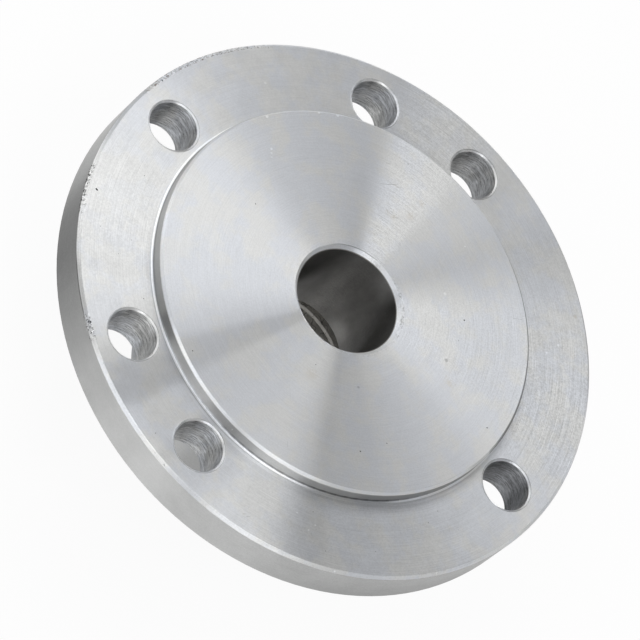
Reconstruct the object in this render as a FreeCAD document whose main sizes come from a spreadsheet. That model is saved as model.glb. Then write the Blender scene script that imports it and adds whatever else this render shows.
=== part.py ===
import FreeCAD, Part
import math
import os
import Sketcher

# A lathe faceplate turned from one piece of steel: a hub that screws onto the spindle nose, a flange
# with six clearance holes on one circle, and a low round register that centres the chuck.
# Millimetres. +Z runs along the spindle axis, out through the register. The origin is the centre of
# the hub's rear face, which seats on the spindle's shoulder. One hole lies on +X.

SIZES = {
    # register, the low spigot that enters the recess in the chuck's back
    "register_diameter": 71.8,
    "register_height": 2.9,
    "register_chamfer": 0.45,
    "register_fillet": 0.5,
    # clearance holes for M8 screws, and the metal left on each side of them
    "hole_diameter": 9.0,
    "hole_chamfer": 0.35,
    "register_to_hole": 1.6,
    "hole_to_rim": 3.5,
    "three_hole_count": 3,
    "four_hole_count": 4,
    # flange
    "flange_thickness": 8.8,
    "rim_chamfer": 0.6,
    # hub behind the flange
    "hub_length": 27.3,
    "hub_wall": 6.0,
    "hub_chamfer": 0.5,
    "hub_fillet": 1.5,
    # plain bore through the front
    "bore_diameter": 19.2,
    "bore_chamfer": 0.75,
    # spindle thread from the rear, with a run-out groove at its inner end
    "thread_diameter": 33.0,
    "thread_pitch": 3.5,
    "thread_length": 14.1,
    "relief_width": 4.0,
    "relief_depth": 0.5,
}

# Radii, and heights above the hub's rear face, worked out from the sizes.
REGISTER_RADIUS = "Sizes.register_diameter / 2"
HOLE_RADIUS = "Sizes.hole_diameter / 2"
HOLE_CIRCLE_RADIUS = f"{REGISTER_RADIUS} + Sizes.register_to_hole + {HOLE_RADIUS}"
FLANGE_RADIUS = f"{HOLE_CIRCLE_RADIUS} + {HOLE_RADIUS} + Sizes.hole_to_rim"
HUB_RADIUS = "Sizes.thread_diameter / 2 + Sizes.hub_wall"
BORE_RADIUS = "Sizes.bore_diameter / 2"
# A metric nut thread is bored five eighths of its triangle's height inside the full diameter.
THREAD_DEPTH = f"{5 / 8 * math.sin(math.pi / 3):.5f} * Sizes.thread_pitch"
THREAD_CORE_RADIUS = f"Sizes.thread_diameter / 2 - {THREAD_DEPTH}"
RELIEF_RADIUS = "Sizes.thread_diameter / 2 + Sizes.relief_depth"
THREAD_MOUTH_CHAMFER = f"{THREAD_DEPTH} + Sizes.relief_depth"
FLANGE_REAR = "Sizes.hub_length"
FLANGE_FRONT = "Sizes.hub_length + Sizes.flange_thickness"
REGISTER_FRONT = f"{FLANGE_FRONT} + Sizes.register_height"
RELIEF_END = "Sizes.thread_length + Sizes.relief_width"

# How a sketch numbers its own axes, and the points of a line or a circle.
X_AXIS_INDEX = -1
Y_AXIS_INDEX = -2
START_POINT_INDEX = 1
END_POINT_INDEX = 2
CENTRE_POINT_INDEX = 3

LENGTH_TOLERANCE = 1e-4


def make_sheet(doc):
    """Puts each driving size in a cell of its own, under its name."""
    sheet = doc.addObject("Spreadsheet::Sheet", "Sizes")
    for row, (name, size) in enumerate(SIZES.items(), start=1):
        sheet.set(f"A{row}", name)
        sheet.set(f"B{row}", str(size))
        sheet.setAlias(f"B{row}", name)
    doc.recompute()
    return sheet


def value(body, expression):
    """The number that an expression on the sheet gives now, where None stands for zero."""
    return float(body.evalExpression(expression)) if expression else 0.0


def origin_feature(body, role):
    """The body's own origin plane or axis with this role."""
    return next(item for item in body.Origin.OriginFeatures if item.Role == role)


def half_section(body, name, corners):
    """Sketches a closed outline in the XZ plane, half of a turned section.

    Each corner is its radius and its height as expressions, or None where it lies on the axis or on
    the plane of the rear face.
    """
    sketch = body.newObject("Sketcher::SketchObject", name)
    sketch.AttachmentSupport = (origin_feature(body, "XZ_Plane"), [""])
    sketch.MapMode = "FlatFace"
    points = [FreeCAD.Vector(value(body, radius), value(body, height), 0) for radius, height in corners]
    count = len(corners)
    for index in range(count):
        sketch.addGeometry(Part.LineSegment(points[index], points[(index + 1) % count]))
    for index in range(count):
        following = (index + 1) % count
        sketch.addConstraint(
            Sketcher.Constraint("Coincident", index, END_POINT_INDEX, following, START_POINT_INDEX)
        )
    for index, (radius, height) in enumerate(corners):
        corner = (index, START_POINT_INDEX)
        place = (("DistanceX", radius, points[index].x, Y_AXIS_INDEX),
                 ("DistanceY", height, points[index].y, X_AXIS_INDEX))
        for kind, expression, start, axis in place:
            if expression is None:
                sketch.addConstraint(Sketcher.Constraint("PointOnObject", *corner, axis))
                continue
            number = sketch.addConstraint(
                Sketcher.Constraint(kind, X_AXIS_INDEX, START_POINT_INDEX, *corner, start)
            )
            sketch.setExpression(f"Constraints[{number}]", expression)
    return sketch


def turn(body, kind, name, sketch):
    """Adds or removes a full turn of a half section about the spindle axis."""
    feature = body.newObject(f"PartDesign::{kind}", name)
    feature.Profile = sketch
    feature.ReferenceAxis = (sketch, ["V_Axis"])
    feature.Angle = 360
    body.Tip = feature
    body.Document.recompute()
    return feature


def round_edges(shape, radius, heights):
    """Names of the round edges of this radius that lie at these heights."""
    names = []
    for number, edge in enumerate(shape.Edges, start=1):
        curve = edge.Curve
        if not isinstance(curve, Part.Circle) or abs(curve.Radius - radius) > LENGTH_TOLERANCE:
            continue
        if any(abs(curve.Center.z - height) < LENGTH_TOLERANCE for height in heights):
            names.append(f"Edge{number}")
    if not names:
        raise RuntimeError(f"no round edge of radius {radius} at {heights}")
    return names


def break_edges(body, kind, name, size, radius, heights):
    """Chamfers or fillets the round edges of one radius at the given heights."""
    base = body.Tip
    edges = round_edges(base.Shape, value(body, radius), [value(body, height) for height in heights])
    feature = body.newObject(f"PartDesign::{kind}", name)
    feature.Base = (base, edges)
    feature.setExpression("Size" if kind == "Chamfer" else "Radius", size)
    body.Tip = feature
    body.Document.recompute()
    return feature


def require_cut(body, volume_before):
    """Stops the build where the body's last feature took no metal away."""
    if body.Shape.Volume > volume_before - LENGTH_TOLERANCE:
        raise RuntimeError(f"{body.Tip.Label} cut nothing")


def make_outside(body):
    """The turned outside: hub, flange and register, with their corners."""
    section = half_section(body, "outside_section", [
        (None, None),
        (HUB_RADIUS, None),
        (HUB_RADIUS, FLANGE_REAR),
        (FLANGE_RADIUS, FLANGE_REAR),
        (FLANGE_RADIUS, FLANGE_FRONT),
        (REGISTER_RADIUS, FLANGE_FRONT),
        (REGISTER_RADIUS, REGISTER_FRONT),
        (None, REGISTER_FRONT),
    ])
    turn(body, "Revolution", "turned_outside", section)
    corners = (
        ("Chamfer", "rim_chamfer", FLANGE_RADIUS, [FLANGE_REAR, FLANGE_FRONT]),
        ("Chamfer", "register_chamfer", REGISTER_RADIUS, [REGISTER_FRONT]),
        ("Chamfer", "hub_chamfer", HUB_RADIUS, [None]),
        ("Fillet", "register_fillet", REGISTER_RADIUS, [FLANGE_FRONT]),
        ("Fillet", "hub_fillet", HUB_RADIUS, [FLANGE_REAR]),
    )
    for kind, name, radius, heights in corners:
        break_edges(body, kind, name, f"Sizes.{name}", radius, heights)


def make_spindle_bore(body):
    """The plain front bore, the run-out groove and the bored core of the spindle thread."""
    section = half_section(body, "bore_section", [
        (None, None),
        (THREAD_CORE_RADIUS, None),
        (THREAD_CORE_RADIUS, "Sizes.thread_length"),
        (RELIEF_RADIUS, "Sizes.thread_length"),
        (RELIEF_RADIUS, RELIEF_END),
        (BORE_RADIUS, RELIEF_END),
        (BORE_RADIUS, REGISTER_FRONT),
        (None, REGISTER_FRONT),
    ])
    solid_volume = body.Shape.Volume
    turn(body, "Groove", "spindle_bore", section)
    require_cut(body, solid_volume)
    corners = (
        ("bore_chamfer", "Sizes.bore_chamfer", BORE_RADIUS, [REGISTER_FRONT]),
        ("thread_mouth_chamfer", THREAD_MOUTH_CHAMFER, THREAD_CORE_RADIUS, [None]),
    )
    for name, size, radius, heights in corners:
        break_edges(body, "Chamfer", name, size, radius, heights)


def make_holes(body):
    """One clearance hole on +X, repeated for a chuck with three screws and for one with four."""
    doc = body.Document
    sketch = body.newObject("Sketcher::SketchObject", "hole_centre")
    sketch.AttachmentSupport = (origin_feature(body, "XY_Plane"), [""])
    sketch.MapMode = "FlatFace"
    sketch.setExpression("AttachmentOffset.Base.z", FLANGE_FRONT)
    centre = FreeCAD.Vector(value(body, HOLE_CIRCLE_RADIUS), 0, 0)
    sketch.addGeometry(Part.Circle(centre, FreeCAD.Vector(0, 0, 1), value(body, HOLE_RADIUS)))
    hole_centre = (0, CENTRE_POINT_INDEX)
    sketch.addConstraint(Sketcher.Constraint("PointOnObject", *hole_centre, X_AXIS_INDEX))
    reach = sketch.addConstraint(
        Sketcher.Constraint("DistanceX", X_AXIS_INDEX, START_POINT_INDEX, *hole_centre, centre.x)
    )
    sketch.setExpression(f"Constraints[{reach}]", HOLE_CIRCLE_RADIUS)
    size = sketch.addConstraint(Sketcher.Constraint("Radius", 0, value(body, HOLE_RADIUS)))
    sketch.setExpression(f"Constraints[{size}]", HOLE_RADIUS)
    doc.recompute()

    undrilled_volume = body.Shape.Volume
    hole = body.newObject("PartDesign::Hole", "clearance_hole")
    hole.Profile = sketch
    hole.Threaded = False
    hole.DepthType = "Dimension"
    hole.DrillPoint = "Flat"
    hole.setExpression("Diameter", "Sizes.hole_diameter")
    hole.setExpression("Depth", "Sizes.flange_thickness")
    body.Tip = hole
    doc.recompute()
    require_cut(body, undrilled_volume)

    for count in ("three_hole_count", "four_hole_count"):
        pattern = body.newObject("PartDesign::PolarPattern", f"{count}_circle")
        pattern.Originals = [hole]
        pattern.Axis = (origin_feature(body, "Z_Axis"), [""])
        pattern.Angle = 360
        pattern.setExpression("Occurrences", f"Sizes.{count}")
        body.Tip = pattern
        doc.recompute()

    break_edges(body, "Chamfer", "hole_chamfers", "Sizes.hole_chamfer", HOLE_RADIUS,
                [FLANGE_REAR, FLANGE_FRONT])


def check(doc, bodies):
    """Stops the build where any object failed or any piece isn't one sound solid."""
    for item in doc.Objects:
        if "Invalid" in item.State or "Error" in item.State:
            raise RuntimeError(f"{item.Label} failed: {item.State}")
    for body in bodies:
        shape = body.Shape
        if shape.isNull() or not shape.isValid() or len(shape.Solids) != 1:
            raise RuntimeError(f"{body.Label} isn't one valid solid")


doc = FreeCAD.newDocument("faceplate")
make_sheet(doc)

faceplate = doc.addObject("PartDesign::Body", "Faceplate")
faceplate.Label = "faceplate"
faceplate.Placement = FreeCAD.Placement()
doc.recompute()

make_outside(faceplate)
make_spindle_bore(faceplate)
make_holes(faceplate)
check(doc, [faceplate])

os.makedirs("parts", exist_ok=True)
faceplate.Shape.exportStep(f"parts/{faceplate.Label}.step")
bounds = faceplate.Shape.BoundBox
print(f"{faceplate.Label}: {bounds.XLength:.2f} x {bounds.YLength:.2f} x {bounds.ZLength:.2f} mm, "
      f"{faceplate.Shape.Volume / 1000:.1f} cm3")
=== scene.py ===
import math
import random
from types import SimpleNamespace

import bmesh
import bpy
from mathutils import Euler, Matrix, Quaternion, Vector

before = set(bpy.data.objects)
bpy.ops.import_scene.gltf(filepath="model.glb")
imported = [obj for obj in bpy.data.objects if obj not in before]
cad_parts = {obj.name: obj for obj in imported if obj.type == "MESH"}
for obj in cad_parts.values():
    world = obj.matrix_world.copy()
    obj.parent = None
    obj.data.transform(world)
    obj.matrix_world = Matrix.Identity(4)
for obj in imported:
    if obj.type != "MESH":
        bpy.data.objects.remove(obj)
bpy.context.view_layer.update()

MM = 0.001

# Places on the plate, in millimetres. +Z runs out through the register, and one hole lies on +X.
FLANGE_RADIUS = 50.0
FLANGE_BACK = 27.3
FLANGE_FRONT = 36.1
RIM_CHAMFER = 0.6
RIM_SIDE_TOP = FLANGE_FRONT - RIM_CHAMFER
FACE_RADIUS = FLANGE_RADIUS - RIM_CHAMFER
REGISTER_RADIUS = 35.9
REGISTER_FRONT = 39.0
REGISTER_CHAMFER = 0.45
WALL_TOP = REGISTER_FRONT - REGISTER_CHAMFER
FOOT_FILLET = 0.5
FOOT_RADIUS = REGISTER_RADIUS + FOOT_FILLET
FOOT_TOP = FLANGE_FRONT + FOOT_FILLET
BORE_RADIUS = 9.6
BORE_CHAMFER = 0.75
MOUTH_RADIUS = BORE_RADIUS + BORE_CHAMFER
HUB_RADIUS = 22.5
GROOVE_RADIUS = 17.0
GROOVE_TOP = 18.1
THREAD_MAJOR_RADIUS = 16.5
THREAD_CORE_RADIUS = 14.606
THREAD_PITCH = 3.5
HOLE_CIRCLE = 42.0
HOLE_RADIUS = 4.5
# How far from its middle a hole's own marks reach.
HOLE_REACH = 5.0
# The centres of the holes at 120 and 240 degrees.
PAIR_X = HOLE_CIRCLE * math.cos(math.radians(120))
PAIR_Y = HOLE_CIRCLE * math.sin(math.radians(120))

# The register's front as a height above the flange's front, as the lists of wear state heights.
REGISTER_TOP = REGISTER_FRONT - FLANGE_FRONT

# Pits and single nicks: plate angle, radius, height above the flange's front, width and depth.
PITS = (
    (206.5, 47.95, 0, 0.65, 0.35),
    (262, 47.25, 0, 0.22, 0.1),
    (214.5, 46, 0, 0.2, 0.08),
    (220, 42.4, 0, 0.2, 0.07),
    (215.5, 40.2, 0, 0.18, 0.07),
    (197, 41, 0, 0.2, 0.07),
    (231, 38.3, 0, 0.22, 0.09),
    (338, 39.3, 0, 0.2, 0.08),
    (16.5, 37.7, 0, 0.2, 0.07),
    (306, 46.6, 0, 0.2, 0.06),
    (302, 40.2, 0, 0.2, 0.07),
    (43, 22.8, REGISTER_TOP, 0.36, 0.16),
    (182, 22.8, REGISTER_TOP, 0.3, 0.12),
    (249, 34.1, REGISTER_TOP, 0.3, 0.1),
    (314, 28.3, REGISTER_TOP, 0.34, 0.15),
    (325.5, 26.6, REGISTER_TOP, 0.28, 0.07),
    (5.5, 32.6, REGISTER_TOP, 0.3, 0.14),
    (32, 21.8, REGISTER_TOP, 0.2, 0.05),
    (285, 15.3, REGISTER_TOP, 0.26, 0.06),
    (107.5, 31.6, REGISTER_TOP, 0.2, 0.05),
    (235, 49.9, -0.1, 0.5, 0.35),
    (245, 49.4, 0, 0.45, 0.15),
    (265, 49.6, -0.25, 0.3, 0.15),
    (268, 49.7, -0.3, 0.6, 0.2),
    (331.5, 49.6, -0.2, 0.5, 0.2),
    (337, 49.3, -0.1, 0.3, 0.15),
    (346, 49.8, -0.3, 0.3, 0.15),
    (178, 49.5, 0, 0.6, 0.15),
    (146.5, 49.2, 0, 0.35, 0.15),
    (133, 35.6, REGISTER_TOP, 0.4, 0.12),
    (139, 35.5, REGISTER_TOP, 0.4, 0.12),
    (156.5, 35.5, REGISTER_TOP, 0.5, 0.15),
    (48.7, 35.6, REGISTER_TOP, 0.4, 0.12),
    (273, 35.95, 1.4, 0.4, 0.3),
    (1.5, 37.6, 0, 0.3, 0.16),
    (334, 40.8, 0, 0.18, 0.07),
    (341, 43.6, 0, 0.16, 0.06),
    (327, 38.6, 0, 0.16, 0.06),
    (346, 39.6, 0, 0.18, 0.07),
    (318, 45.1, 0, 0.16, 0.06),
    (44.5, 40.2, 0, 0.16, 0.05),
    (43, 44.5, 0, 0.16, 0.05),
)

# Runs of nicks along the rim: first and last angle, mean step, radius, height, width and scatter.
EDGE_NICKS = (
    (201.2, 209, 0.6, 49.8, -0.3, 0.7, 0.15),
    (209, 213.5, 0.8, 49.8, -0.3, 0.45, 0.12),
    (236.3, 239, 0.7, 49.6, -0.15, 0.9, 0.15),
    (240, 262, 2.3, 49.5, 0, 0.25, 0.08),
    (275, 285, 1.7, 49.95, -0.6, 0.3, 0.05),
    (286, 350, 4.5, 49.7, -0.2, 0.25, 0.12),
    (150, 177, 1.4, 49.6, -0.05, 0.6, 0.12),
    (20, 140, 9, 49.55, 0, 0.25, 0.1),
)

# Scratches on the level faces: both ends as angle and radius, height, width and depth.
SCRATCHES = (
    ((106.5, 26.9), (116.8, 24.4), REGISTER_TOP, 0.14, 0.025),
    ((104.8, 26.8), (108.7, 25.8), REGISTER_TOP, 0.12, 0.02),
    ((112.8, 29.7), (115.5, 29.2), REGISTER_TOP, 0.12, 0.02),
    ((94, 23.4), (100, 21.9), REGISTER_TOP, 0.1, 0.012),
    ((30.7, 33.5), (34, 31.3), REGISTER_TOP, 0.1, 0.012),
    ((47.5, 29.6), (52.5, 29.3), REGISTER_TOP, 0.12, 0.012),
    ((52.5, 29.3), (57, 28.9), REGISTER_TOP, 0.1, 0.01),
    ((160, 29.8), (163, 27.4), REGISTER_TOP, 0.16, 0.012),
    ((288.8, 33.0), (287.6, 31.4), REGISTER_TOP, 0.14, 0.016),
    ((12, 24.0), (19, 21.8), REGISTER_TOP, 0.14, 0.014),
    ((18.5, 19.9), (20.5, 20.8), REGISTER_TOP, 0.16, 0.016),
    ((54, 19.8), (58, 19.9), REGISTER_TOP, 0.16, 0.012),
    ((46.5, 35.2), (46.8, 32.2), REGISTER_TOP, 0.16, 0.02),
    ((100.5, 20.6), (105, 19.8), REGISTER_TOP, 0.2, 0.016),
    ((104, 20.4), (108.5, 20.2), REGISTER_TOP, 0.2, 0.014),
    ((350.3, 27.3), (351.8, 28.2), REGISTER_TOP, 0.16, 0.014),
    ((2, 30.2), (5, 32.0), REGISTER_TOP, 0.12, 0.012),
    ((42.5, 44.9), (42.7, 44.0), 0, 0.14, 0.014),
    ((40.5, 41.3), (40.9, 40.6), 0, 0.14, 0.014),
    ((302.3, 44.9), (302.4, 43.8), 0, 0.16, 0.014),
    ((304, 43.6), (306, 43.4), 0, 0.16, 0.014),
    ((286, 47.0), (287.2, 46.4), 0, 0.16, 0.02),
    ((287, 47.0), (288.2, 46.4), 0, 0.16, 0.02),
)

# Stains on the front, and painted glints where the tone is above 1: plate angle, radius, width, tone and
# whether it is brown.
STAINS_AND_GLINTS = (
    (97, 22.6, 2.2, 0.93, True),
    (96, 26.5, 1.4, 0.93, True),
    (104, 20.2, 1.6, 0.88, True),
    (107, 20.1, 0.9, 0.8, True),
    (9.5, 22.6, 2.0, 0.93, True),
    (18.8, 20.4, 0.7, 0.7, False),
    (56, 19.8, 0.6, 1.2, False),
    (74, 28.0, 0.35, 1.25, False),
    (50.5, 47.9, 0.8, 0.9, True),
    (41, 46.5, 0.9, 0.92, True),
    (316, 16.4, 0.5, 0.75, False),
    (285, 17.5, 3.0, 0.97, True),
    (352, 15.5, 1.5, 0.94, False),
    (160.3, 29.5, 0.5, 1.25, False),
    (161.1, 28.8, 0.45, 1.2, False),
    (161.9, 28.1, 0.4, 1.2, False),
    (156.5, 35.3, 0.6, 1.3, False),
    (139, 35.4, 0.5, 1.25, False),
    (133, 35.4, 0.6, 1.3, False),
    (150, 42.5, 0.6, 1.15, False),
    (303, 42.5, 0.4, 1.25, False),
    (301.5, 43.8, 0.4, 1.25, False),
    (298, 41.5, 0.35, 1.2, False),
    (43, 43.5, 0.5, 1.25, False),
    (40.5, 41, 0.5, 1.25, False),
)
# Stains wider than this have ragged outlines.
WIDE_STAIN = 0.8

# Colours of the steel, its stains and its rust.
STEEL_COOL = (0.650, 0.668, 0.700, 1)
STEEL_WARM = (0.680, 0.684, 0.680, 1)
STAIN = (0.66, 0.64, 0.60, 1)
RUST = (0.20, 0.13, 0.085, 1)

# Tones: how bright a surface is beside the two machined faces, which stand at 1. The darker hole on +X,
# the rim side's shade, the line beside the register's foot and the lines along edges are painted shade;
# the torn edges' dark specks are partly painted shade, and their bright points are painted glints.
HOLE_TONE = 0.66
HOLE_SHADE_ON_X = 0.42
HUB_TONE = 0.62
RIM_SIDE_SHADE = 0.45
FOOT_SHADE_LINE_TONE = 0.72
SHADE_LINE_TONE = 0.45
TORN_SPECK_AND_SHADE_TONE = 0.2
TORN_GLINT_TONE = 1.35
SUNK_MARK_TONE = 0.15
BRIGHTEST_TONE = 1.42

# What changes round the plate, as the photograph shows it: a base, then stretches with their first
# and last plate angle, the reach of the fade at both ends and the change. The tones of the holes,
# faces, bore, chamfers, rim side, register wall and foot are painted light and shade.
ROUND_THE_PLATE = {
    "tool_marks": (0.8, (12, 52, 10, 0.95), (91, 113, 6, 1.6), (195, 235, 6, 0.15)),
    "tool_marks_on_flange": (
        0.0, (8, 42, 12, 1.4), (46, 72, 8, 0.6), (192, 228, 10, 0.8), (285, 345, 15, 0.5),
    ),
    # Painted light and shade: from the holes to the register's chamfer, each surface is brighter or darker
    # by plate angle.
    "holes": (
        1.0, (84, 96, 4, 0.05), (112, 128, 4, 0.12), (172, 188, 4, 0.08), (230, 250, 4, 0.24),
        (260, 280, 4, 0.14),
    ),
    "flange": (
        1.0, (10, 50, 8, -0.05), (80, 118, 5, -0.14), (200, 222, 6, 0.04), (225, 241, 3, 0.09),
        (245, 253.5, 2.5, -0.12), (255, 266, 2, 0.22), (267, 283, 3, 0.11), (281, 295, 3, 0.08),
        (298, 305.5, 3, -0.14), (335, 355, 8, 0.07),
    ),
    "register": (
        1.0, (40, 66, 6, 0.05), (92, 116, 4, 0.12), (127, 157, 6, 0.04), (219, 241, 5, 0.03),
        (244.5, 254.5, 2.5, -0.14), (274, 306, 5, -0.05), (297, 303, 3, -0.05), (320, 348, 6, 0.04),
    ),
    "bore": (0.3, (-20, 58, 14, -0.11), (66, 125, 12, -0.07), (135, 200, 10, -0.02)),
    "bore_chamfer": (
        1.22, (60, 114, 6, -0.14), (185, 252, 6, -0.25), (257, 284, 4, -0.65), (288, 302, 4, -0.2),
    ),
    "rim_chamfer": (
        1.1, (34, 104, 10, -0.53), (50, 106, 8, -0.1), (176, 193, 4, -0.28), (198, 222, 3, 0.1),
        (224, 235, 1.5, -0.16), (274, 292, 5, -0.1), (298, 354, 5, 0.3),
    ),
    "rim_side": (
        0.70, (184, 196, 4, -0.05), (192, 222, 8, -0.08), (205, 214, 4, -0.1), (238, 252, 5, -0.1),
        (246, 263, 4, -0.03), (266, 296, 6, 0.1), (312, 345, 8, -0.07),
    ),
    "register_wall": (
        0.58, (195, 225, 8, 0.1), (217, 232, 3, 0.06), (236, 244, 2, -0.17), (255, 264, 3, 0.08),
        (276, 284, 3, 0.08), (282, 297, 4, 0.3), (299, 314, 3, 0.14),
    ),
    "wall_top": (1.0, (294, 345, 4, 0.5)),
    "register_foot": (1.0, (299, 325, 4, -0.45), (332, 350, 4, 0.3)),
    "beside_foot": (1.0, (257, 288, 4, 0.14), (299, 322, 4, -0.12), (331, 350, 4, 0.2)),
    "register_chamfer": (
        1.08, (2, 102, 8, -0.62), (80, 96, 5, -0.14), (118, 164, 6, 0.18), (198, 262, 4, 0.14),
        (297, 352, 4, 0.34),
    ),
    "torn_face": (0.03, (209, 213, 1, 0.5)),
    "torn_rim": (0.05, (146, 178, 3, 0.7), (234.5, 240, 0.5, 0.8)),
    "torn_mouth": (0.1, (10, 70, 12, 0.35)),
    "warmth": (0.0, (85, 108, 8, 0.5), (215, 245, 8, -0.4), (280, 300, 8, 0.4)),
    "warmth_on_flange": (0.0, (192, 245, 10, 0.7)),
}
# The same round each hole, by the angle about the hole's own middle: painted light and shade on each hole's
# wall and chamfer.
ROUND_EACH_HOLE = {
    "hole_wall": (0.96, (64, 96, 8, 0.28), (108, 138, 8, -0.12)),
    "hole_chamfer": (1.25, (162, 222, 8, -0.35), (316, 346, 6, -0.3)),
}

# The camera, in millimetres, as the photograph sees the plate.
CAMERA_PLACE = Vector((-35.7, -522.9, 701.7))
CAMERA_AIM = Vector((-0.77, -5.38, FLANGE_FRONT))
CAMERA_ROLL = math.radians(50.26)
SENSOR_WIDTH = 36.0
PHOTO_WIDTH_PIXELS = 640
FOCAL_LENGTH_PIXELS = 4939.7

# The room: half the floor's width in metres, its paper's grey, and how bright floor and room are.
FLOOR_REACH = 3
PAPER_GREY = (0.9, 0.9, 0.9, 1)
FLOOR_GLOW = 0.92
ROOM_STRENGTH = 0.5

# Softboxes that face the frame's origin: azimuth from +X and elevation in degrees, distance, width
# and height in metres, and brightness, where 1 shows as white.
SOFTBOXES = {
    "left_wall": (111, 47, 0.76, 0.33, 0.20, 1.5),
    "left_window": (151, 56, 0.55, 0.42, 0.39, 1.6),
    "front_low": (250, 10, 1.16, 1.00, 0.40, 4.1),
    "front_high": (308, 56, 1.59, 0.61, 1.00, 2.8),
    "rear_low": (86, 11, 1.60, 0.25, 0.38, 9.6),
}


def link(obj):
    bpy.context.scene.collection.objects.link(obj)
    return obj


def mesh_object(name, bm):
    """An object that holds the built mesh, in the row's frame."""
    mesh = bpy.data.meshes.new(name)
    bm.to_mesh(mesh)
    bm.free()
    return link(bpy.data.objects.new(name, mesh))


def thread_cutter():
    """The space between the turns of the right-hand spindle thread, as one closed helical bar."""
    steps_per_turn = 72
    start_height, end_height = -THREAD_PITCH, 16.0
    overlap = 0.3
    inner_radius = THREAD_CORE_RADIUS - overlap
    root_half_width = THREAD_PITCH / 16
    flank_slope = math.tan(math.radians(30))
    mouth_half_width = root_half_width + (THREAD_MAJOR_RADIUS - inner_radius) * flank_slope
    section = (
        (inner_radius, -mouth_half_width),
        (THREAD_MAJOR_RADIUS, -root_half_width),
        (THREAD_MAJOR_RADIUS, root_half_width),
        (inner_radius, mouth_half_width),
    )
    turns = (end_height - start_height) / THREAD_PITCH
    count = round(turns * steps_per_turn)
    bm = bmesh.new()
    rings = []
    for step in range(count + 1):
        angle = 2 * math.pi * turns * step / count
        height = start_height + THREAD_PITCH * angle / (2 * math.pi)
        rings.append([
            bm.verts.new(Vector((r * math.cos(angle), r * math.sin(angle), height + up)) * MM)
            for r, up in section
        ])
    for near, far in zip(rings, rings[1:]):
        for i in range(len(section)):
            j = (i + 1) % len(section)
            bm.faces.new((near[i], near[j], far[j], far[i]))
    bm.faces.new(rings[0])
    bm.faces.new(rings[-1])
    bmesh.ops.recalc_face_normals(bm, faces=bm.faces)
    return mesh_object("thread_cutter", bm)


def at(angle, radius, height):
    """A place on the plate, in metres, from its plate angle and its height above the flange's front."""
    turn = math.radians(angle)
    return Vector((radius * math.cos(turn), radius * math.sin(turn), FLANGE_FRONT + height)) * MM


def dent(bm, dice, centre, size, depth):
    """A small faceted lump, as wide as its size in millimetres, that bites to its depth."""
    made = bmesh.ops.create_icosphere(bm, subdivisions=1, radius=0.5)
    turn = Euler([dice.uniform(0, math.tau) for _ in range(3)]).to_matrix()
    reach = Vector((size, size * dice.uniform(0.6, 1.0), 2 * depth)) * MM
    for vert in made["verts"]:
        place = turn @ vert.co
        vert.co = centre + Vector(a * b for a, b in zip(place, reach))


def scratch(bm, start, end, width, depth):
    """A shallow groove with a sharp root, tapered at both ends, on a level face."""
    clearance = 0.02
    along = (end - start).normalized()
    across = along.cross(Vector((0, 0, 1))) * width / 2 * MM
    down = Vector((0, 0, -depth)) * MM
    up = Vector((0, 0, clearance)) * MM
    wide = 1 + clearance / depth
    tips = [bm.verts.new(start + up), bm.verts.new(end + up)]
    sections = []
    for share in (0.2, 0.8):
        middle = start.lerp(end, share)
        sections.append([bm.verts.new(middle + across * wide + up),
                         bm.verts.new(middle + down),
                         bm.verts.new(middle - across * wide + up)])
    near, far = sections
    for i, j in ((0, 1), (1, 2), (2, 0)):
        bm.faces.new((tips[0], near[i], near[j]))
        bm.faces.new((near[i], far[i], far[j], near[j]))
        bm.faces.new((far[i], tips[1], far[j]))


def wear_cutter():
    """The pits, edge nicks and scratches, as one mesh of small separate lumps and grooves."""
    dice = random.Random(7)
    bm = bmesh.new()
    for angle, radius, height, size, depth in PITS:
        dent(bm, dice, at(angle, radius, height), size, depth)
    for first, last, step, radius, height, size, spread in EDGE_NICKS:
        angle = first
        while angle < last:
            width = size * dice.uniform(0.6, 1.4)
            off_radius, off_height = dice.uniform(-spread, spread), dice.uniform(-spread, spread)
            place = at(angle, radius + off_radius, height + off_height)
            dent(bm, dice, place, width, width * dice.uniform(0.25, 0.5))
            angle += step * dice.uniform(0.7, 1.5)
    for start, end, height, width, depth in SCRATCHES:
        scratch(bm, at(*start, height), at(*end, height), width, depth)
    bmesh.ops.recalc_face_normals(bm, faces=bm.faces)
    return mesh_object("wear_cutter", bm)


def cut(node, name, cutter):
    """Takes the cutter's shape out of a CAD node, by a modifier."""
    cutter.hide_render = True
    cutter.hide_viewport = True
    boolean = node.modifiers.new(name, "BOOLEAN")
    boolean.operation = "DIFFERENCE"
    boolean.solver = "EXACT"
    boolean.object = cutter
    return boolean


def shape_faceplate(node):
    """Cuts the thread's turns and the wear, and keeps the flat faces and sharp edges true."""
    weld = node.modifiers.new("close_seams", "WELD")
    weld.merge_threshold = 1e-6
    cut(node, "spindle_thread", thread_cutter())
    cut(node, "nicks_pits_and_scratches", wear_cutter()).use_self = True
    split = node.modifiers.new("sharp_edges", "EDGE_SPLIT")
    split.split_angle = math.radians(28)
    node.modifiers.new("flat_faces_stay_flat", "WEIGHTED_NORMAL")


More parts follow.
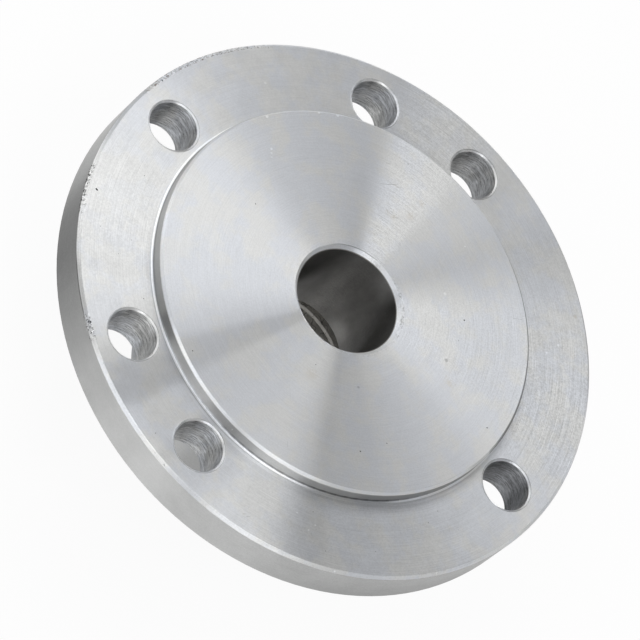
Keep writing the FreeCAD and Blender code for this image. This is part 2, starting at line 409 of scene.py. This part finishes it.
class Graph:
    """Builds a material's nodes by short calls, and is passed on as g. Each value is a number or a
    node's output."""

    def __init__(self, material):
        material.use_nodes = True
        self.nodes = material.node_tree.nodes
        self.links = material.node_tree.links

    def put(self, socket, value):
        if isinstance(value, bpy.types.NodeSocket):
            self.links.new(value, socket)
        else:
            socket.default_value = value

    def math(self, operation, *values, clamp=False):
        node = self.nodes.new("ShaderNodeMath")
        node.operation = operation
        node.use_clamp = clamp
        for socket, value in zip(node.inputs, values):
            self.put(socket, value)
        return node.outputs[0]

    def total(self, *values):
        result = values[0]
        for value in values[1:]:
            result = self.math("ADD", result, value)
        return result

    def product(self, *values):
        result = values[0]
        for value in values[1:]:
            result = self.math("MULTIPLY", result, value)
        return result

    def squares(self, x, y):
        return self.total(self.product(x, x), self.product(y, y))

    def direction(self, x, y):
        """The direction of a place, from 0 to 360 degrees, counted from +X."""
        return self.math("FLOORED_MODULO", self.math("DEGREES", self.math("ARCTAN2", y, x)), 360.0)

    def around(self, value, middle, swing):
        """Turns a value that runs from 0 to 1 into one that swings about a middle."""
        return self.math("MULTIPLY_ADD", value, 2 * swing, middle - swing)

    def fade(self, value, low, high):
        """0 below low and 1 above high, with a smooth rise between them, or the reverse."""
        node = self.nodes.new("ShaderNodeMapRange")
        node.interpolation_type = "SMOOTHSTEP"
        # The smooth step keeps to its range by itself, and a clamp on each makes the shader too big.
        node.clamp = False
        self.put(node.inputs["Value"], value)
        flip = low > high
        self.put(node.inputs["From Min"], min(low, high))
        self.put(node.inputs["From Max"], max(low, high))
        self.put(node.inputs["To Min"], 1.0 if flip else 0.0)
        self.put(node.inputs["To Max"], 0.0 if flip else 1.0)
        return node.outputs["Result"]

    def within(self, value, low, high, edge):
        """1 between low and high, with a fade as far as the edge to both sides of each."""
        rise = self.fade(value, low - edge, low + edge)
        return self.product(rise, self.fade(value, high + edge, high - edge))

    def line(self, noise, outer, inner):
        """1 along the thin lines where a noise is at its middle, fading from inner to outer."""
        return self.fade(self.math("ABSOLUTE", self.math("SUBTRACT", noise, 0.5)), outer, inner)

    def sectors(self, angle, base, *stretches):
        """A base that changes in stretches: each has a first and a last angle, an edge and a change."""
        for first, last, edge, change in stretches:
            base = self.total(base, self.product(self.within(angle, first, last, edge), change))
        return base

    def vector(self, x, y, z):
        node = self.nodes.new("ShaderNodeCombineXYZ")
        for socket, value in zip(node.inputs, (x, y, z)):
            self.put(socket, value)
        return node.outputs[0]

    def split(self, vector):
        node = self.nodes.new("ShaderNodeSeparateXYZ")
        self.put(node.inputs[0], vector)
        return node.outputs

    def noise(self, vector, scale, detail, roughness, w=None):
        """A noise from 0 to 1. With a w it changes along that as well as along the vector."""
        node = self.nodes.new("ShaderNodeTexNoise")
        node.noise_dimensions = "3D" if w is None else "4D"
        self.put(node.inputs["Vector"], vector)
        self.put(node.inputs["Scale"], scale)
        self.put(node.inputs["Detail"], detail)
        self.put(node.inputs["Roughness"], roughness)
        if w is not None:
            self.put(node.inputs["W"], w)
        return node.outputs[0]

    def between(self, operation, first, second):
        """A vector made of two by one operation. A distance is a number."""
        node = self.nodes.new("ShaderNodeVectorMath")
        node.operation = operation
        self.put(node.inputs[0], first)
        self.put(node.inputs[1], second)
        return node.outputs["Value" if operation == "DISTANCE" else "Vector"]

    def mix(self, share, first, second):
        """A number between two, by share."""
        return self.math("MULTIPLY_ADD", share, self.math("SUBTRACT", second, first), first)

    def shade(self, tone, share, change):
        """A tone times a change, where the share is 1."""
        return self.product(tone, self.mix(share, 1.0, change))

    def mix_colour(self, share, first, second, blend="MIX"):
        node = self.nodes.new("ShaderNodeMix")
        node.data_type = "RGBA"
        node.blend_type = blend
        self.put(node.inputs["Factor"], share)
        self.put(node.inputs[6], first)
        self.put(node.inputs[7], second)
        return node.outputs[2]

    def grey(self, value):
        node = self.nodes.new("ShaderNodeCombineColor")
        for socket in node.inputs:
            self.put(socket, value)
        return node.outputs[0]


def hole_frame(g, x, y):
    """Which places lie in or at a hole, and the middle of that hole, or of the plate."""
    def hole_here(place_x, middle_x, place_y, middle_y):
        off_x = g.math("SUBTRACT", place_x, middle_x)
        off_y = g.math("SUBTRACT", place_y, middle_y)
        return g.math("LESS_THAN", g.squares(off_x, off_y), HOLE_REACH ** 2)

    side_x, side_y = g.math("SIGN", x), g.math("SIGN", y)
    wide_x, wide_y = g.math("ABSOLUTE", x), g.math("ABSOLUTE", y)
    on_x = hole_here(wide_x, HOLE_CIRCLE, y, 0.0)
    on_y = hole_here(x, 0.0, wide_y, HOLE_CIRCLE)
    on_pair = hole_here(x, PAIR_X, wide_y, PAIR_Y)
    middle_x = g.total(g.product(on_x, side_x, HOLE_CIRCLE), g.product(on_pair, PAIR_X))
    middle_y = g.product(g.total(g.product(on_y, HOLE_CIRCLE), g.product(on_pair, PAIR_Y)), side_y)
    return g.total(on_x, on_y, on_pair), middle_x, middle_y


def places(g):
    """Where a point lies on the plate, and round the axis that its surface was cut about: the
    plate's, or a hole's."""
    place = SimpleNamespace()
    scaled = g.nodes.new("ShaderNodeVectorMath")
    scaled.operation = "SCALE"
    g.put(scaled.inputs[0], g.nodes.new("ShaderNodeTexCoord").outputs["Object"])
    g.put(scaled.inputs["Scale"], 1 / MM)
    place.mm = scaled.outputs[0]
    place.x, place.y, place.z = g.split(place.mm)
    place.radius = g.math("SQRT", g.squares(place.x, place.y))
    place.angle = g.direction(place.x, place.y)
    place.hole, middle_x, middle_y = hole_frame(g, place.x, place.y)
    near_x, near_y = g.math("SUBTRACT", place.x, middle_x), g.math("SUBTRACT", place.y, middle_y)
    place.near_radius = g.math("SQRT", g.total(g.squares(near_x, near_y), 1e-6))
    place.out_x = g.math("DIVIDE", near_x, place.near_radius)
    place.out_y = g.math("DIVIDE", near_y, place.near_radius)
    place.outward = g.vector(place.out_x, place.out_y, 0.0)
    place.ring = g.total(place.near_radius, g.product(place.z, 1.7))
    place.near_angle = g.direction(near_x, near_y)
    return place


def finish_noises(g, place):
    """The noises of the finish. Those with a w lie in marks round the axis, as a tool leaves them."""
    noise = SimpleNamespace()
    noise.short_marks = g.noise(place.outward, 9.0, 3.0, 0.6, w=g.product(place.ring, 3.5))
    noise.long_marks = g.noise(place.outward, 1.6, 2.0, 0.5, w=g.product(place.ring, 6.0))
    noise.cloud = g.noise(place.mm, 0.07, 3.0, 0.55)
    noise.mottle = g.noise(place.mm, 0.35, 3.0, 0.6)
    noise.grain = g.noise(place.mm, 3.2, 2.0, 0.6)
    noise.speckle = g.noise(place.mm, 2.4, 3.0, 0.75)
    noise.drilled = g.noise(place.outward, 2.4, 3.0, 0.65, w=g.product(place.z, 1.2))
    chatter = g.noise(place.outward, 1.3, 2.0, 0.5, w=g.product(place.z, 1.9))
    noise.chatter_line = g.line(chatter, 0.022, 0.008)
    noise.scuffs = g.noise(place.outward, 2.2, 3.0, 0.6, w=g.product(place.z, 0.05))
    return noise


def foot_round(g, place):
    """The outward direction of the true quarter round at the register's foot."""
    outwards = g.math("SUBTRACT", FOOT_RADIUS, place.radius)
    to_middle = g.vector(
        g.product(place.out_x, outwards),
        g.product(place.out_y, outwards),
        g.math("SUBTRACT", FOOT_TOP, place.z),
    )
    return g.between("NORMALIZE", to_middle, (0.0, 0.0, 0.0))


def surfaces(g, place):
    """Which surface of the plate a point is on: 1 there, else 0."""
    on = SimpleNamespace()
    on.bore = g.product(g.fade(place.radius, BORE_RADIUS + 0.2, BORE_RADIUS + 0.05),
                        g.fade(place.z, GROOVE_TOP - 0.1, GROOVE_TOP + 0.1))
    on.bore_chamfer = g.product(g.within(place.radius, BORE_RADIUS + 0.03, MOUTH_RADIUS - 0.02, 0.02),
                                g.fade(place.z, REGISTER_FRONT - 0.8, REGISTER_FRONT - 0.7))
    on.thread = g.product(g.fade(place.radius, GROOVE_RADIUS + 0.4, GROOVE_RADIUS + 0.2),
                          g.fade(place.z, GROOVE_TOP + 0.15, GROOVE_TOP + 0.05),
                          g.math("SUBTRACT", 1.0, on.bore))
    on.hole_wall = g.product(place.hole, g.fade(place.near_radius, HOLE_RADIUS + 0.12, HOLE_RADIUS + 0.04))
    on.hole_chamfer = g.product(
        place.hole, g.within(place.near_radius, HOLE_RADIUS + 0.06, HOLE_RADIUS + 0.34, 0.02),
        g.fade(place.z, FLANGE_FRONT - 0.01, FLANGE_FRONT - 0.04),
    )
    on.hole_lip = g.product(place.hole, g.total(
        g.within(place.near_radius, HOLE_RADIUS + 0.36, HOLE_RADIUS + 0.44, 0.02),
        g.product(g.within(place.near_radius, HOLE_RADIUS + 0.02, HOLE_RADIUS + 0.06, 0.02), 0.8),
    ))
    on.hub_side = g.product(g.within(place.radius, HUB_RADIUS - 0.5, HUB_RADIUS + 1.5, 0.1),
                            g.fade(place.z, FLANGE_BACK - 0.1, FLANGE_BACK - 0.4))
    on.rim_side = g.product(g.fade(place.radius, FLANGE_RADIUS - 0.1, FLANGE_RADIUS - 0.05),
                            g.fade(place.z, RIM_SIDE_TOP + 0.1, RIM_SIDE_TOP))
    on.rim_chamfer = g.product(g.fade(place.radius, FACE_RADIUS, FACE_RADIUS + 0.04),
                               g.within(place.z, RIM_SIDE_TOP, FLANGE_FRONT - 0.01, 0.01))
    on.register_wall = g.product(g.within(place.radius, REGISTER_RADIUS - 0.1, REGISTER_RADIUS + 0.1, 0.03),
                                 g.within(place.z, FLANGE_FRONT + 0.4, REGISTER_FRONT - 0.4, 0.1))
    on.register_foot = g.product(g.within(place.radius, REGISTER_RADIUS, FOOT_RADIUS, 0.03),
                                 g.within(place.z, FLANGE_FRONT, FOOT_TOP, 0.03))
    on.register_chamfer = g.product(
        g.within(place.radius, REGISTER_RADIUS - REGISTER_CHAMFER, REGISTER_RADIUS + 0.02, 0.01),
        g.within(place.z, WALL_TOP, REGISTER_FRONT - 0.01, 0.01),
    )
    on.foot_normal = foot_round(g, place)
    on.foot_rise = g.split(on.foot_normal)[2]
    # Painted shade: a thin dark line on the flange just beside the register's foot, on the near side.
    on.foot_line = g.product(g.within(place.radius, FOOT_RADIUS + 0.02, FOOT_RADIUS + 0.12, 0.03),
                             g.within(place.angle, 222, 300, 8))
    on.flange = g.product(g.fade(place.radius, FOOT_RADIUS, FOOT_RADIUS + 0.4),
                          g.fade(place.z, FLANGE_BACK + 0.7, FLANGE_BACK + 2.7))
    on.front = g.fade(place.z, FLANGE_FRONT - 0.1, FLANGE_FRONT - 0.05)
    return on


def round_the_plate(g, place, name):
    return g.sectors(place.angle, *ROUND_THE_PLATE[name])


def round_each_hole(g, place, name):
    return g.sectors(place.near_angle, *ROUND_EACH_HOLE[name])


def tool_marks(g, place, noise, on):
    """The tone of the marks. They show more on the flange than on the register."""
    texture = g.product(
        g.total(g.around(noise.short_marks, 0.0, 0.22), g.around(noise.long_marks, 0.0, 0.10),
                g.around(noise.grain, 0.0, 0.12)),
        g.total(round_the_plate(g, place, "tool_marks"),
                g.product(on.flange, round_the_plate(g, place, "tool_marks_on_flange"))),
    )
    tone = g.total(1.0, g.around(noise.cloud, 0.0, 0.05), texture)
    return g.math("MULTIPLY_ADD", g.around(noise.mottle, 0.0, 0.06), g.total(0.5, on.flange), tone)


def drilled_wall(g, place, noise):
    """The tone of a hole's wall: painted light and shade round the plate and round each hole, with
    painted shade darkest in the hole on +X, and drilled marks.
    """
    return g.product(
        g.mix(g.fade(place.x, 10.0, 35.0), HOLE_TONE, HOLE_SHADE_ON_X),
        round_the_plate(g, place, "holes"),
        round_each_hole(g, place, "hole_wall"),
        g.around(noise.drilled, 1.0, 1.3),
        g.mix(noise.chatter_line, 1.0, 0.52),
    )


def bore_wall(g, place, noise):
    """The tone of the plain bore: dark, with painted light and shade round it, and painted light towards
    its far end, most of all at 44 to 76 degrees.
    """
    return g.product(
        round_the_plate(g, place, "bore"),
        g.mix(g.fade(place.z, 20.0, 33.0), 1.25, 0.9), g.around(noise.scuffs, 1.0, 0.6),
        g.mix(g.product(g.fade(place.z, 24.0, 19.0), g.within(place.angle, 44, 76, 10)), 1.0, 1.7),
    )


def lit_and_stained_thread(g, place):
    """The tone of the thread and its groove: brighter than the bore with painted light, cloudy, with thin
    dark lines.
    """
    return g.product(g.around(g.noise(place.mm, 0.9, 4.0, 0.6), 1.05, 0.35),
                     g.mix(g.line(g.noise(place.mm, 0.55, 1.0, 0.5), 0.02, 0.008), 1.0, 0.6))


def shade_surfaces(g, place, noise, on, tone):
    """Gives each surface its tone beside the faces, mostly painted light and shade that changes round the
    plate and round each hole. The sides were cut with a coarser finish.
    """
    hole_tone = drilled_wall(g, place, noise)
    tone = g.shade(tone, g.product(on.flange, on.front), round_the_plate(g, place, "flange"))
    register = g.product(g.fade(place.z, REGISTER_FRONT - 0.1, REGISTER_FRONT - 0.04),
                         g.fade(place.radius, REGISTER_RADIUS - 0.45, REGISTER_RADIUS - 0.55))
    tone = g.shade(tone, register, round_the_plate(g, place, "register"))
    tone = g.shade(tone, on.bore, bore_wall(g, place, noise))
    tone = g.shade(tone, on.bore_chamfer, round_the_plate(g, place, "bore_chamfer"))
    tone = g.shade(tone, on.thread, lit_and_stained_thread(g, place))
    tone = g.shade(tone, on.hub_side, HUB_TONE)
    tone = g.shade(tone, on.hole_wall, hole_tone)
    tone = g.shade(tone, on.hole_chamfer, round_each_hole(g, place, "hole_chamfer"))
    tone = g.shade(tone, on.hole_lip, g.around(noise.speckle, 0.55, 0.6))
    tone = g.shade(tone, on.rim_chamfer, round_the_plate(g, place, "rim_chamfer"))
    tone = g.shade(tone, on.rim_side, round_the_plate(g, place, "rim_side"))
    # The rim's side is in deep shade in one stretch, and brightens towards its front in another.
    tone = g.shade(tone, g.product(on.rim_side, g.within(place.angle, 206, 232, 16)), RIM_SIDE_SHADE)
    tone = g.shade(tone, g.product(on.rim_side, g.within(place.angle, 305, 345, 6)),
                   g.mix(g.fade(place.z, FLANGE_BACK - 0.3, FLANGE_FRONT - 0.1), 0.9, 1.12))
    tone = g.shade(tone, on.register_wall, round_the_plate(g, place, "register_wall"))
    # Painted highlight where the register's foot faces up, and painted shade where it turns steep.
    tone = g.shade(tone, on.register_foot, g.product(
        g.mix(g.fade(on.foot_rise, 0.6, 0.8), 0.55, 1.35), round_the_plate(g, place, "register_foot"),
    ))
    # Painted light and shade on the flange beside the register's foot.
    beside_foot = g.product(g.within(place.radius, FOOT_RADIUS + 0.02, FOOT_RADIUS + 0.7, 0.12), on.flange)
    tone = g.shade(tone, beside_foot, round_the_plate(g, place, "beside_foot"))
    # Painted light along the top of the register's wall, in one stretch of plate angle.
    wall_top = g.product(g.within(place.radius, REGISTER_RADIUS - 0.15, REGISTER_RADIUS + 0.05, 0.03),
                         g.within(place.z, WALL_TOP - 0.25, WALL_TOP + 0.07, 0.06))
    tone = g.shade(tone, wall_top, round_the_plate(g, place, "wall_top"))
    # Painted shade beside the register's foot.
    tone = g.shade(tone, on.foot_line, FOOT_SHADE_LINE_TONE)
    return g.shade(tone, on.register_chamfer, round_the_plate(g, place, "register_chamfer"))


def tear_edges(g, place, noise, tone):
    """Edges that are torn and burred in places, with dark specks that are partly painted shade, bright
    points that are painted glints, and painted shade lines. Gives the tone and where the rim's front edge
    is."""
    face_edge = g.product(g.within(place.radius, FACE_RADIUS - 0.25, FACE_RADIUS + 0.32, 0.06),
                          g.fade(place.z, RIM_SIDE_TOP + 0.15, RIM_SIDE_TOP + 0.25))
    rim_edge = g.product(g.fade(place.radius, FACE_RADIUS - 0.3, FACE_RADIUS - 0.1),
                         g.fade(place.z, RIM_SIDE_TOP - 0.5, RIM_SIDE_TOP - 0.2))
    mouth_edge = g.product(g.within(place.radius, MOUTH_RADIUS - 0.1, MOUTH_RADIUS + 0.55, 0.15),
                           round_the_plate(g, place, "torn_mouth"))
    torn = g.total(
        g.product(face_edge, round_the_plate(g, place, "torn_face")),
        g.product(rim_edge, round_the_plate(g, place, "torn_rim")),
        g.product(g.fade(place.radius, FACE_RADIUS - 0.05, FACE_RADIUS + 0.2),
                  g.fade(place.z, RIM_SIDE_TOP - 0.2, RIM_SIDE_TOP - 0.1),
                  g.within(place.angle, 201, 210, 0.5)),
        mouth_edge,
    )
    torn = g.math("MINIMUM", torn, 1.0)
    # Painted shade lines along the rim's chamfer, the bore's mouth and the register wall's top edge; the
    # one at 202 to 213 degrees is broken up like burrs.
    shade_lines = g.total(
        g.product(g.within(place.z, RIM_SIDE_TOP - 0.02, RIM_SIDE_TOP + 0.12, 0.05),
                  g.fade(place.radius, FLANGE_RADIUS - 0.2, FLANGE_RADIUS - 0.1),
                  g.within(place.angle, 222, 235, 2)),
        g.product(g.within(place.z, RIM_SIDE_TOP - 0.4, RIM_SIDE_TOP + 0.1, 0.05),
                  g.fade(place.radius, FLANGE_RADIUS - 0.2, FLANGE_RADIUS - 0.1),
                  g.within(place.angle, 202, 213, 1), g.fade(noise.speckle, 0.56, 0.44)),
        g.product(g.within(place.radius, MOUTH_RADIUS - 0.05, MOUTH_RADIUS + 0.07, 0.03),
                  g.within(place.angle, 98, 145, 8)),
        g.product(g.within(place.radius, REGISTER_RADIUS - 0.2, REGISTER_RADIUS + 0.1, 0.03),
                  g.within(place.z, WALL_TOP - 0.2, WALL_TOP + 0.1, 0.03),
                  g.within(place.angle, -8, 62, 6)),
    )
    # Painted shade and painted glints on the torn facets, then the painted shade lines.
    tone = g.product(
        tone,
        g.mix(g.product(torn, g.fade(noise.speckle, 0.46, 0.39)), 1.0, TORN_SPECK_AND_SHADE_TONE),
        g.mix(g.product(torn, g.fade(noise.speckle, 0.55, 0.62)), 1.0, TORN_GLINT_TONE),
        g.mix(shade_lines, 1.0, SHADE_LINE_TONE),
    )
    return tone, rim_edge


def sunk_marks(g, place):
    """1 in what reaches below the two machined faces: the pits and scratches, drawn darker and rougher."""
    flange_pit = g.product(
        g.fade(place.z, FLANGE_FRONT - 0.004, FLANGE_FRONT - 0.035),
        g.math("GREATER_THAN", place.z, FLANGE_FRONT - 0.5),
        g.within(place.radius, FOOT_RADIUS + 0.2, FACE_RADIUS - 0.2, 0.05),
        g.math("SUBTRACT", 1.0, place.hole, clamp=True),
    )
    register_pit = g.product(
        g.fade(place.z, REGISTER_FRONT - 0.004, REGISTER_FRONT - 0.035),
        g.math("GREATER_THAN", place.z, REGISTER_FRONT - 0.4),
        g.within(place.radius, MOUTH_RADIUS + 0.25, REGISTER_RADIUS - 0.6, 0.05),
    )
    return g.math("ADD", flange_pit, register_pit, clamp=True)


def stain_and_glint_front(g, place, noise, on, tone):
    """Puts the stains and the painted glints on the front, the wide ones with ragged outlines. Gives the
    tone and where it is brown."""
    shift = g.vector(g.around(noise.speckle, 0.0, 1.6), g.around(noise.grain, 0.0, 1.6), 0.0)
    ragged = g.between("ADD", place.mm, shift)
    brown = 0.0
    for angle, radius, width, stain_and_glint_tone, is_brown in STAINS_AND_GLINTS:
        middle = at(angle, radius, REGISTER_TOP if radius < REGISTER_RADIUS else 0) / MM
        is_wide = width > WIDE_STAIN
        away = g.between("DISTANCE", ragged if is_wide else place.mm, middle)
        stain_and_glint = g.product(on.front, g.fade(away, 0.6 * width, 0.0 if is_wide else 0.3 * width))
        # A stain, or a painted glint where the tone is above 1.
        tone = g.shade(tone, stain_and_glint, stain_and_glint_tone)
        if is_brown:
            brown = g.total(brown, stain_and_glint)
    return tone, brown


def steel_tint(g, place, on, brown):
    """The steel's own colour, between cool and warm, and brownish where it is stained."""
    warmth = g.total(
        g.fade(g.noise(place.mm, 0.16, 3.0, 0.6), 0.42, 0.62), on.rim_side, on.register_wall,
        round_the_plate(g, place, "warmth"),
        g.product(on.flange, round_the_plate(g, place, "warmth_on_flange")),
    )
    warmth = g.math("ADD", warmth, 0.0, clamp=True)
    tint = g.mix_colour(warmth, STEEL_COOL, STEEL_WARM)
    stained = g.product(g.math("MINIMUM", g.total(brown, on.bore, on.thread), 1.0), 0.7)
    return g.mix_colour(stained, tint, STAIN)


def little_rust(g, place, noise, on, rim_edge):
    """Specks of rust along one stretch of the rim's edge, and at the roots of the thread."""
    rust_here = g.total(
        g.product(rim_edge, g.within(place.angle, 154, 179, 3), 1.2),
        g.product(on.thread, g.fade(place.radius, 15.0, 16.3), g.fade(noise.mottle, 0.42, 0.6), 0.9),
    )
    return g.product(rust_here, g.fade(g.noise(place.mm, 1.7, 3.0, 0.7), 0.56, 0.66), 0.7)


def finish_relief(g, place, noise, on):
    """The normal. The register's foot is a true quarter round, whatever the mesh's facets there."""
    blend = g.nodes.new("ShaderNodeMix")
    blend.data_type = "VECTOR"
    on_foot = g.product(on.register_foot, g.fade(place.radius, FOOT_RADIUS - 0.01, FOOT_RADIUS - 0.04))
    g.put(blend.inputs[0], on_foot)
    g.put(blend.inputs[4], g.nodes.new("ShaderNodeNewGeometry").outputs["Normal"])
    g.put(blend.inputs[5], on.foot_normal)
    bump = g.nodes.new("ShaderNodeBump")
    bump.inputs["Distance"].default_value = 0.01 * MM
    bump.inputs["Strength"].default_value = 0.7
    height = g.total(
        noise.short_marks, noise.long_marks, g.product(noise.grain, 0.5),
        g.product(on.hole_wall, g.total(
            g.product(noise.drilled, 8.0), g.product(noise.chatter_line, -2.0),
        )),
    )
    g.put(bump.inputs["Height"], height)
    g.put(bump.inputs["Normal"], blend.outputs[1])
    return bump.outputs[0]


def turned_steel():
    """Bare steel, turned in fine rings, with drilled holes, a dark bore, stains and darker pits, and with
    painted light and shade.
    """
    material = bpy.data.materials.new("turned_steel_bare")
    g = Graph(material)
    shader = g.nodes["Principled BSDF"]
    place = places(g)
    g.put(shader.inputs["Tangent"], g.vector(g.product(place.out_y, -1.0), place.out_x, 0.0))
    noise = finish_noises(g, place)
    on = surfaces(g, place)

    tone = shade_surfaces(g, place, noise, on, tool_marks(g, place, noise, on))
    tone, rim_edge = tear_edges(g, place, noise, tone)
    sunk = sunk_marks(g, place)
    tone = g.shade(tone, sunk, SUNK_MARK_TONE)
    tone, brown = stain_and_glint_front(g, place, noise, on, tone)
    tint = steel_tint(g, place, on, brown)
    colour = g.mix_colour(1.0, tint, g.grey(g.math("MINIMUM", tone, BRIGHTEST_TONE)), "MULTIPLY")
    rust = little_rust(g, place, noise, on, rim_edge)
    g.put(shader.inputs["Base Color"], g.mix_colour(rust, colour, RUST))

    shader.inputs["Metallic"].default_value = 1.0
    g.put(shader.inputs["Roughness"], g.total(
        g.around(noise.short_marks, 0.40, 0.05), g.around(noise.cloud, 0.0, 0.03),
        g.product(on.hole_wall, 0.06), g.product(rust, 0.3), g.product(sunk, 0.2),
        g.product(on.thread, 0.3),
    ))
    shader.inputs["Anisotropic"].default_value = 0.95
    shader.inputs["Anisotropic Rotation"].default_value = 0.25
    g.put(shader.inputs["Normal"], finish_relief(g, place, noise, on))
    return material


def make_camera():
    data = bpy.data.cameras.new("camera")
    data.sensor_width = SENSOR_WIDTH
    data.lens = FOCAL_LENGTH_PIXELS / PHOTO_WIDTH_PIXELS * SENSOR_WIDTH
    data.clip_end = 20
    camera = link(bpy.data.objects.new("camera", data))
    camera.location = CAMERA_PLACE * MM
    level = (CAMERA_AIM - CAMERA_PLACE).to_track_quat("-Z", "Y")
    camera.rotation_mode = "QUATERNION"
    camera.rotation_quaternion = level @ Quaternion((0, 0, 1), CAMERA_ROLL)
    bpy.context.scene.camera = camera


def background_share(nodes, links):
    """1 for rays from the camera, and for those that metal or glass sends on, else 0."""
    path = nodes.new("ShaderNodeLightPath")
    share = path.outputs["Is Camera Ray"]
    for kind in ("Is Glossy Ray", "Is Transmission Ray"):
        larger = nodes.new("ShaderNodeMath")
        larger.operation = "MAXIMUM"
        links.new(share, larger.inputs[0])
        links.new(path.outputs[kind], larger.inputs[1])
        share = larger.outputs[0]
    return share


def make_floor():
    """A plain white floor that keeps a pale shadow."""
    bm = bmesh.new()
    bmesh.ops.create_grid(bm, x_segments=1, y_segments=1, size=FLOOR_REACH)
    floor = mesh_object("floor", bm)
    material = bpy.data.materials.new("floor_white")
    material.use_nodes = True
    nodes, links = material.node_tree.nodes, material.node_tree.links
    nodes.clear()
    paper = nodes.new("ShaderNodeBsdfDiffuse")
    paper.inputs["Color"].default_value = PAPER_GREY
    glow = nodes.new("ShaderNodeEmission")
    glow.inputs["Strength"].default_value = 1.0
    share = nodes.new("ShaderNodeMath")
    share.operation = "MULTIPLY"
    share.inputs[1].default_value = FLOOR_GLOW
    links.new(background_share(nodes, links), share.inputs[0])
    mix = nodes.new("ShaderNodeMixShader")
    links.new(share.outputs[0], mix.inputs[0])
    links.new(paper.outputs[0], mix.inputs[1])
    links.new(glow.outputs[0], mix.inputs[2])
    out = nodes.new("ShaderNodeOutputMaterial")
    links.new(mix.outputs[0], out.inputs["Surface"])
    floor.data.materials.append(material)


def make_world():
    """A plain room, pale all round."""
    world = bpy.data.worlds.new("studio")
    bpy.context.scene.world = world
    world.use_nodes = True
    room = world.node_tree.nodes["Background"]
    room.inputs["Color"].default_value = (1, 1, 1, 1)
    room.inputs["Strength"].default_value = ROOM_STRENGTH


def softbox(name, azimuth, elevation, distance, width, height, brightness):
    """A lamp that faces the frame's origin from an azimuth and an elevation."""
    data = bpy.data.lights.new(name, "AREA")
    data.shape = "RECTANGLE"
    data.size = width
    data.size_y = height
    data.energy = math.pi * width * height * brightness
    light = link(bpy.data.objects.new(name, data))
    flat = math.cos(math.radians(elevation))
    towards = Vector((
        flat * math.cos(math.radians(azimuth)),
        flat * math.sin(math.radians(azimuth)),
        math.sin(math.radians(elevation)),
    ))
    light.location = towards * distance
    light.rotation_mode = "QUATERNION"
    light.rotation_quaternion = (-towards).to_track_quat("-Z", "Y")


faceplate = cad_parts["faceplate"]
shape_faceplate(faceplate)
faceplate.data.materials[0] = turned_steel()
make_camera()
make_floor()
make_world()
for name, placing in SOFTBOXES.items():
    softbox(name, *placing)

bpy.context.scene.view_settings.view_transform = "Standard"
